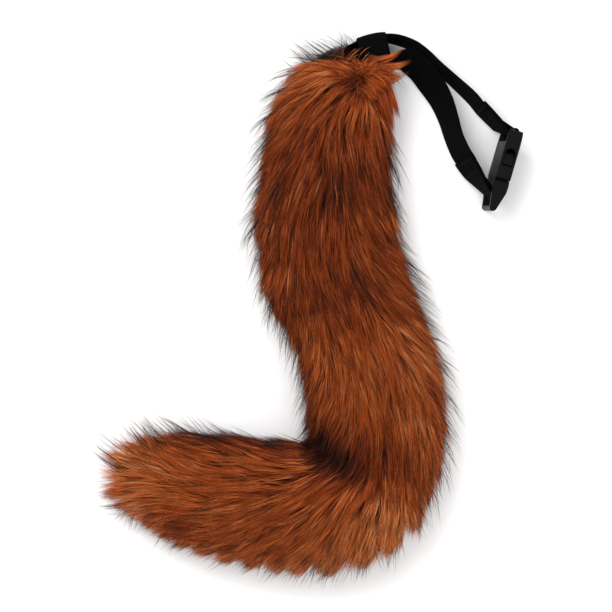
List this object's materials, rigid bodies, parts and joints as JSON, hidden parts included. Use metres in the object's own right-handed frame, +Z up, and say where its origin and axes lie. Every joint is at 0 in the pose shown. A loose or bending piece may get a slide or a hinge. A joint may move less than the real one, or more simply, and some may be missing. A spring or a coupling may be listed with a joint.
{
  "type": "costume animal tail",
  "caption": "Stuffed faux-fur animal tail, curved as it lies, on a narrow webbing waist belt with a fastened side-release buckle.",
  "frame": {"origin": "under the middle of the whole, on the surface that the tail lies on", "axes": "+Z up from the surface; +Y from the bend of the tail towards its root and belt; +X from the tip towards the buckle"},
  "size_m": [0.334, 0.4372, 0.072],
  "materials": {
    "fur": "rust-orange faux fur with darker and paler hair",
    "webbing": "black woven webbing",
    "buckle_plastic": "dark grey moulded plastic with a fine grain"
  },
  "bodies": {
    "root": {"fur_tail": "fur", "waist_strap": "webbing", "belt_loop": "webbing", "buckle_socket": "buckle_plastic", "buckle_plug": "buckle_plastic"}
  },
  "joints": []
}
